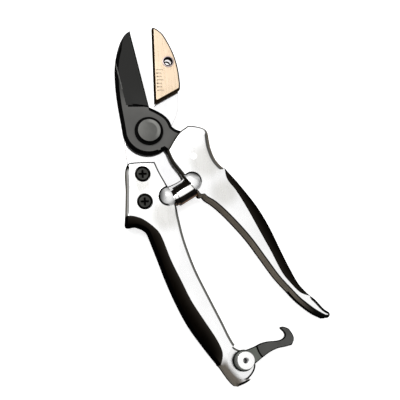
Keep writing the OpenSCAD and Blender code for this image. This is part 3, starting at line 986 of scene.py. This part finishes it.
# Above its heel the smoothed outline is held to the straight cutting edge, and to the back's own limit
above_heel = blade_outer @ edge_dir > HEEL_Y - 1
past_edge = np.where(above_heel, np.maximum(blade_outer @ edge_out - EDGE_X, 0), 0)
blade_outer = blade_outer - past_edge[:, None] * edge_out
blade_outer[:, 0] = np.maximum(blade_outer[:, 0], BLADE_LO[0])


def back_rim(outer):
    """Wide rounding along the blade's back and round the hub, none along the cutting edge."""
    along_edge = np.abs(outer @ edge_out - EDGE_X) < 0.15
    x, y = outer.T
    hub = (y < 8) & (x < 11)
    heel = (y >= 1) & (y < HEEL_Y) & (x > -1)
    neck = (x >= 11) & (x < 20) & (y > -4)
    back = (y >= 8) & (x < -2) & ~along_edge
    rims = np.where(hub | back, WIDE_RIM, 0.7)
    tip = np.clip((58 - y) / 10, 0.15, 1)
    rims = np.where(back, rims * tip, rims)
    rims[(heel | neck) & ~along_edge] = WIDE_RIM
    rims[along_edge] = 0.02
    return softened(rims, 0.2, 4)


def grind(points):
    """How far the ground bevel lies below the blade's flat, and the soft shoulder at its heel."""
    from_edge = EDGE_X - points @ edge_out
    depth = (BLADE_T - EDGE_T) / 2 * np.clip(1 - from_edge / BEVEL_W, 0, 1)
    shoulder = np.clip((points[:, 1] - (HEEL_Y - 1.5 * np.clip(1 - from_edge / BEVEL_W, 0, 1))) / 1.5, 0, 1)
    return depth * shoulder ** 1.7


def chamfer(drop, near):
    """The wide rim: a flat slope that starts where the rounding would, with a softened crest."""
    return np.minimum(0.62 * np.maximum(WIDE_RIM + 0.1 - near, 0), 1.6 * np.sqrt(np.maximum(drop, 0)))


fine_x = np.arange(-14, 3.6, 0.6)
heel_rows = np.arange(HEEL_Y - 1.8, HEEL_Y + 0.6, 0.3)
heel_points = [np.stack([fine_x, np.full(len(fine_x), y)], 1) for y in heel_rows]
steps_up = np.arange(16, 59, 0.8)
crease = [edge_out * (EDGE_X - BEVEL_W + d) + edge_dir * s for s in steps_up for d in (-0.24, 0, 0.24)]
crease += [edge_out * (EDGE_X - 0.6) + edge_dir * s for s in steps_up]
mesh = slab("blade", blade_outer, [circle(JAW, radius_of("pivot_bush"))],
            lambda p, drop, near: np.maximum(BLADE_HI[2] - chamfer(drop, near) - grind(p),
                                             blade_mid + LEAST_HALF),
            lambda p, drop, near: np.minimum(BLADE_LO[2] + 0.5 * chamfer(drop, near) + grind(p),
                                             blade_mid - LEAST_HALF),
            back_rim(blade_outer), 1.0, [*heel_points, np.array(crease)])
stand_in("blade", mesh, ["blade_body", "blade_ground", "painted_shade_black", "painted_crest_highlight"])


def blade_finish(at, _):
    depth = EDGE_X - at[:2] @ edge_out
    # Painted shade: black in the heel's groove and along the cutting edge
    if HEEL_Y - 0.9 < at[1] < HEEL_Y + 0.15 and -11 < at[0] < 3.6 or at[1] > HEEL_Y and depth < 0.6:
        return 2
    # Painted highlight: a light grey strip along the crease where the bevel meets the flat
    if at[1] > HEEL_Y + 9 and abs(depth - BEVEL_W) < 0.24:
        return 3
    return at[1] > HEEL_Y and depth < BEVEL_W


paint(mesh, blade_finish)

# ---------------------------------------------------------------- anvil, its plate and rivet

plate_lo, plate_hi = box_mm("anvil_plate")
outline = section("anvil_plate", (plate_lo[2] + plate_hi[2]) / 2)
holes = [circle(h.mean(0), reach(h, h.mean(0)).mean()) for h in outline[1:]]
flats = level_faces(plate_lo[2], plate_hi[2])
mesh = slab("anvil_plate", resample(outline[0], 1.2), holes, *flats, 0.3, 2.5)
stand_in("anvil_plate", mesh, [slot_of("anvil_plate"), "painted_shade_black"])
# Painted shade: the plate's walls near its foot, by the spring, are black
paint(mesh, lambda at, flat: at[0] > 2.4 and at[1] < -20 and flat < 0.7)

anvil_lo, anvil_hi = box_mm("anvil")
rivet_at = centre_of("anvil_rivet")
ANVIL_HOLE_R, TICKS = 2.6, 7
TICK_PITCH, TICK_W, TICK_DEPTH, TICK_LEFT = 2.0, 0.3, 0.2, 6.6
tick_low = anvil_lo[1] + 7.2


def tick_marks(points):
    """A short engraved scale of plain ticks, every third one longer."""
    deep = np.zeros(len(points))
    for k in range(TICKS):
        length = 2.6 if k % 3 == 0 else 1.5
        dy = np.abs(points[:, 1] - (tick_low + k * TICK_PITCH))
        dx = np.abs(points[:, 0] - (TICK_LEFT + length / 2)) - length / 2
        deep = np.maximum(deep, TICK_DEPTH * np.clip((TICK_W - np.maximum(dy, dx)) / 0.12, 0, 1))
    return deep


tick_points = []
for k in range(TICKS):
    for dy in (-0.3, -0.17, -0.05, 0.05, 0.17, 0.3):
        xs = np.arange(TICK_LEFT - 0.4, TICK_LEFT + 3.1, 0.15)
        tick_points.append(np.stack([xs, np.full(len(xs), tick_low + k * TICK_PITCH + dy)], 1))
outline = resample(section("anvil", (anvil_lo[2] + anvil_hi[2]) / 2)[0], 0.9)
mesh = slab("anvil", outline, [circle(rivet_at, ANVIL_HOLE_R)],
            lambda p, drop, near: anvil_hi[2] - drop - tick_marks(p), level_faces(anvil_lo[2], 0)[1],
            0.9, 1.5, tick_points)
stand_in("anvil", mesh)

rivet_lo, rivet_hi = box_mm("anvil_rivet")
RIM_T, rim_r, TUBE_R = 0.3, radius_of("anvil_rivet"), 2.05
LIP_R, LIP_DEEP = 2.75, 3.0
low, high = rivet_lo[2], rivet_hi[2]
profile = rounded([(TUBE_R, low), (rim_r, low), (rim_r, low + RIM_T), (ANVIL_HOLE_R, low + RIM_T),
                   (ANVIL_HOLE_R, high - RIM_T), (rim_r, high - RIM_T), (rim_r, high), (LIP_R, high),
                   (TUBE_R, high), (TUBE_R, high - LIP_DEEP), (TUBE_R, low + LIP_DEEP)],
                  [0.35, 0.2, 0.1, 0, 0, 0.1, 0.2, 0, 0.5, 0, 0])
mesh = lathe("anvil_rivet", profile, rivet_at)
stand_in("anvil_rivet", mesh, ["rivet_lilac", "hole_painted_shade", "polished_bore"])


def anvil_rivet_finish(at, _):
    if reach(at[:2], rivet_at) >= LIP_R:
        return 0
    # Painted shade: black on the lips and near the bore's ends, the polished bore between
    return 1 if abs(at[2] - (rivet_lo[2] + rivet_hi[2]) / 2) > 0.8 else 2


paint(mesh, anvil_rivet_finish)

# ---------------------------------------------------------------- pivot

bolt_lo, bolt_hi = box_mm("pivot_bolt")
head_r, under_head = radius_of("pivot_bolt"), box_mm("pivot_head_washer")[1][2]
low, high = bolt_lo[2], bolt_hi[2]
profile = rounded([(0, low), (BOLT_R - 0.6, low), (BOLT_R, low + 0.6), (BOLT_R, under_head),
                   (head_r, under_head), (head_r, high), (0, high)], [0, 0.1, 0.1, 0, 0.2, 0.45, 0])
stand_in("pivot_bolt", lathe("pivot_bolt", profile, JAW), "pivot_steel")


def washer(node, inner, edge, centre=JAW):
    lo, hi = box_mm(node)
    stand_in(node, lathe(node, ring_profile(inner, radius_of(node), lo[2], hi[2], edge), centre))


washer("pivot_head_washer", BOLT_R, 0.4)
washer("pivot_spacer_washer", BOLT_R, 0.05)
washer("pivot_bush", BOLT_R + 0.05, 0.15)

nut_lo, nut_hi = box_mm("pivot_nut")
across = nut_hi[1] - nut_lo[1]
hexagon = resample(circle(JAW, across / 2 / math.cos(math.pi / 6), 6), 0.7)


def corner_drop(points):
    """How far the nut's corners are turned down."""
    return np.maximum(reach(points, JAW) - across * 0.48, 0) * 0.5


stand_in("pivot_nut", slab("pivot_nut", hexagon, [circle(JAW, BOLT_R)],
                           lambda p, drop, near: nut_hi[2] - corner_drop(p),
                           lambda p, drop, near: nut_lo[2] + corner_drop(p), 0.1, 0.6))


def split_ring(node, inner, gap=0.5, lift=0.12, steps=70):
    """A spring washer: a ring cut through once, its two ends a little apart."""
    lo, hi = box_mm(node)
    outer = radius_of(node)
    profile = ring_profile(inner, outer, 0, hi[2] - lo[2] - lift, 0.15)
    rows = []
    for k in range(steps + 1):
        a = math.radians(130) + (2 * math.pi - gap / outer) * k / steps
        base = lo[2] + lift * k / steps
        rows.append([(r * math.cos(a), r * math.sin(a), base + z) for r, z in profile])
    stand_in(node, sweep(node, rows))


split_ring("pivot_lock_washer", BOLT_R)

# ---------------------------------------------------------------- screws

CROSS_L, CROSS_W, CROSS_DEEP = 2.2, 0.5, 1.1


def cross_head(node, top_z, head_t, tip_z, up):
    """A cross-head screw: rounded head with a tapered cross recess, plain shank."""
    at, head_radius = centre_of(node), radius_of(node)
    sign = 1 if up else -1

    def recess(points):
        x, y = np.abs((points - at).T)
        reach = np.maximum(x, y)
        half = CROSS_W * (1.25 - 0.35 * reach / CROSS_L)
        into = np.minimum(half - np.minimum(x, y), CROSS_L - reach)
        return CROSS_DEEP * np.clip(into / 0.22, 0, 1)

    ticks = np.arange(-CROSS_L - 0.3, CROSS_L + 0.31, 0.17)
    gx, gy = np.meshgrid(ticks, ticks)
    fine = np.stack([gx.ravel(), gy.ravel()], 1)
    fine = fine[np.minimum(np.abs(fine[:, 0]), np.abs(fine[:, 1])) < CROSS_W + 0.4] + at

    def face(points, drop, near):
        return top_z - sign * (drop * 0.8 + recess(points))

    def seat(points, drop, near):
        return np.full(len(points), top_z - sign * head_t)

    faces = (face, seat) if up else (seat, face)
    head = slab(node, circle(at, head_radius, 72), [], *faces, 0.7, 0.5, [fine])
    bm = bmesh.new()
    bm.from_mesh(head)
    low, high = sorted((tip_z, top_z - sign * head_t))
    shank = lathe("shank", rounded(rod(SCREW_R, low, high), [0, 0 if up else 0.25, 0, 0]), at, 40)
    bm.from_mesh(shank)
    bpy.data.meshes.remove(head)
    mesh = mesh_from(bm, node)
    stand_in(node, mesh, ["black_oxide", "screw_face", "screw_end"])

    def finish_at(place, flat):
        if not up and place[2] > FRONT_Z - 0.6:
            return 2
        return abs(place[2] - top_z) < 0.45 and reach(place[:2], at) < head_radius - 0.9 and flat > 0.9

    paint(mesh, finish_at)


for screw in ("plate_screw_upper", "plate_screw_lower"):
    lo, hi = box_mm(screw)
    cross_head(screw, hi[2], SCREW_HEAD_T, lo[2], True)
for screw in ("blade_screw_upper", "blade_screw_lower"):
    lo, hi = box_mm(screw)
    cross_head(screw, lo[2], 2, hi[2], False)

# ---------------------------------------------------------------- spring


def volute(turns=3.4, wall=0.85, climb=1.9):
    """Flat strip wound into a volute: each inner coil stands out further towards the left boss."""
    steps = int(turns * 72)
    length = 2 * SPRING_HALF
    rows = []
    for k in range(steps + 1):
        t = k / steps
        a = 2 * math.pi * turns * t
        r = SPRING_R - 0.06 - wall / 2 - (wall + 0.12) * turns * t
        shift = climb * turns * t
        left, right = max(0.0, climb * turns - shift), length - shift
        near, far = r - wall / 2, r + wall / 2
        ring = rounded([(near, left), (far, left), (far, right), (near, right)], 0.18, 2)
        row = []
        for radius, x in ring:
            across_by, z = radius * math.cos(a), radius * math.sin(a)
            plan = SPRING_MID + AXIS * (x - SPRING_HALF) + ACROSS * across_by
            row.append((plan[0], plan[1], MID_Z + z))
        rows.append(row)
    return sweep("spring", rows)


spring = new_piece("spring_visual", volute(), ["spring"], None, "spring_steel", "spring_steel")
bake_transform(spring)

# ---------------------------------------------------------------- latch

FINGER_HEEL_AT, FINGER_HEEL_R = np.array([66.4, -118.5]), 13.1
FINGER_LOW, FINGER_HIGH = box_mm("latch")[0][2], box_mm("latch")[1][2]
LATCH_GAP, EYE_T, LATCH_RIVET_R = 0.05, 2.2, 2.5
EYE_LOW = box_mm("latch_washer")[1][2] + LATCH_GAP
EYE_HIGH = EYE_LOW + EYE_T


def on_finger(points):
    return reach(points, FINGER_HEEL_AT) < FINGER_HEEL_R


latch_loops = section("latch", (EYE_LOW + EYE_HIGH) / 2)
arm = resample(latch_loops[0], 0.7)
eye_hole = circle(LATCH_AT, LATCH_RIVET_R + LATCH_GAP, 48)
heel_rings = [circle(FINGER_HEEL_AT, FINGER_HEEL_R + d, 240) for d in (-0.5, -0.04, 0.04, 0.3)]
mesh = slab("latch", arm, [eye_hole],
            lambda p, drop, near: np.where(on_finger(p), FINGER_HIGH, EYE_HIGH) - drop,
            lambda p, drop, near: np.where(on_finger(p), FINGER_LOW, EYE_LOW) + drop, 0.75, 1.0, heel_rings)
stand_in("latch", mesh, ["latch_steel", "latch_eye_lit", "painted_shade_black"])


def latch_finish(at, _):
    from_heel = reach(at[:2], FINGER_HEEL_AT) - FINGER_HEEL_R
    # Painted shade: a black strip along the step between finger and eye
    return 2 if -0.5 < from_heel < 0.3 else from_heel > 0


paint(mesh, latch_finish)

rivet_lo, rivet_hi = box_mm("latch_rivet")
head_low = EYE_HIGH + LATCH_GAP
HEAD_R, FOOT_R, BORE_R, BORE_SHINE = 4.9, 4.2, 1.5, 5
profile = rounded([(BORE_R, rivet_lo[2]), (FOOT_R, rivet_lo[2]), (FOOT_R, BACK_Z), (LATCH_RIVET_R, BACK_Z),
                   (LATCH_RIVET_R, head_low), (HEAD_R, head_low), (HEAD_R, rivet_hi[2]),
                   (BORE_R, rivet_hi[2]), (BORE_R, rivet_hi[2] - BORE_SHINE)],
                  [0.5, 0.6, 0.05, 0, 0, 0.15, 0.5, 0.35, 0])
mesh = lathe("latch_rivet", profile, LATCH_AT)
stand_in("latch_rivet", mesh, ["rivet_bright", "hole_painted_shade", "bore_painted_highlight"])


def latch_rivet_finish(at, _):
    if reach(at[:2], LATCH_AT) >= BORE_R + 0.15:
        return 0
    # Painted shade in the bore's deep part and on its left; a painted highlight on its upper right
    return 1 if at[2] < rivet_hi[2] - BORE_SHINE or at[0] < LATCH_AT[0] - 0.5 else 2


paint(mesh, latch_rivet_finish)
washer("latch_washer", LATCH_RIVET_R, 0.06, LATCH_AT)
(_, _, low), (_, _, high) = box_mm("catch_pin")
profile = rounded(rod(radius_of("catch_pin"), low, high), [0, 0.2, 0.2, 0])
stand_in("catch_pin", lathe("catch_pin", profile, centre_of("catch_pin"), 32))

# ---------------------------------------------------------------- floor, light, camera


def floor():
    bm = bmesh.new()
    bmesh.ops.create_circle(bm, cap_ends=True, radius=9, segments=64)
    piece = linked("floor", mesh_from(bm, "floor"))
    n = Nodes("floor_pale")
    n.finish((0.95, 0.95, 0.95, 1.0), 0.9, Emission_Color=(1, 1, 1, 1), Emission_Strength=0.55)
    piece.data.materials.append(n.mat)


def studio():
    """Soft light from all round, brightest overhead."""
    world = bpy.data.worlds.new("studio")
    world.use_nodes = True
    tree = world.node_tree
    background = tree.nodes["Background"]
    coord = tree.nodes.new("ShaderNodeTexCoord")
    split = tree.nodes.new("ShaderNodeSeparateXYZ")
    ramp = tree.nodes.new("ShaderNodeValToRGB")
    stops = ((0.0, 0.10), (0.3, 0.12), (0.55, 0.55), (0.8, 1.0), (1.0, 1.04))
    while len(ramp.color_ramp.elements) < len(stops):
        ramp.color_ramp.elements.new(0.5)
    for element, (position, value) in zip(ramp.color_ramp.elements, stops):
        element.position = position
        element.color = (value, value, value, 1)
    tree.links.new(coord.outputs["Generated"], split.inputs[0])
    tree.links.new(split.outputs[2], ramp.inputs[0])
    tree.links.new(ramp.outputs[0], background.inputs[0])
    background.inputs[1].default_value = 1.0
    bpy.context.scene.world = world


def soft_light(name, place, target, size, power):
    light = bpy.data.lights.new(name, "AREA")
    light.shape = "RECTANGLE"
    light.size, light.size_y = size
    light.energy = power
    lamp = linked(name, light)
    lamp.location = place
    lamp.rotation_euler = (Vector(target) - Vector(place)).to_track_quat("-Z", "Y").to_euler()


def camera():
    data = bpy.data.cameras.new("camera")
    data.sensor_width = 36
    data.lens = 76.8
    data.clip_start, data.clip_end = 0.01, 50
    thing = linked("camera", data)
    place, target = Vector((-0.064, -0.122, 0.466)), Vector((0.026, -0.040, 0.0135))
    up = Vector((0.0603, 0.9982, 0))
    back = (place - target).normalized()
    right = up.cross(back).normalized()
    true_up = back.cross(right)
    basis = Matrix((right, true_up, back)).transposed().to_4x4()
    thing.matrix_world = Matrix.Translation(place) @ basis
    bpy.context.scene.camera = thing


floor()
studio()
soft_light("key", (-0.25, 0.35, 0.9), (0.03, -0.04, 0), (0.5, 0.5), 4.0)
camera()
bpy.context.scene.view_settings.view_transform = "Standard"
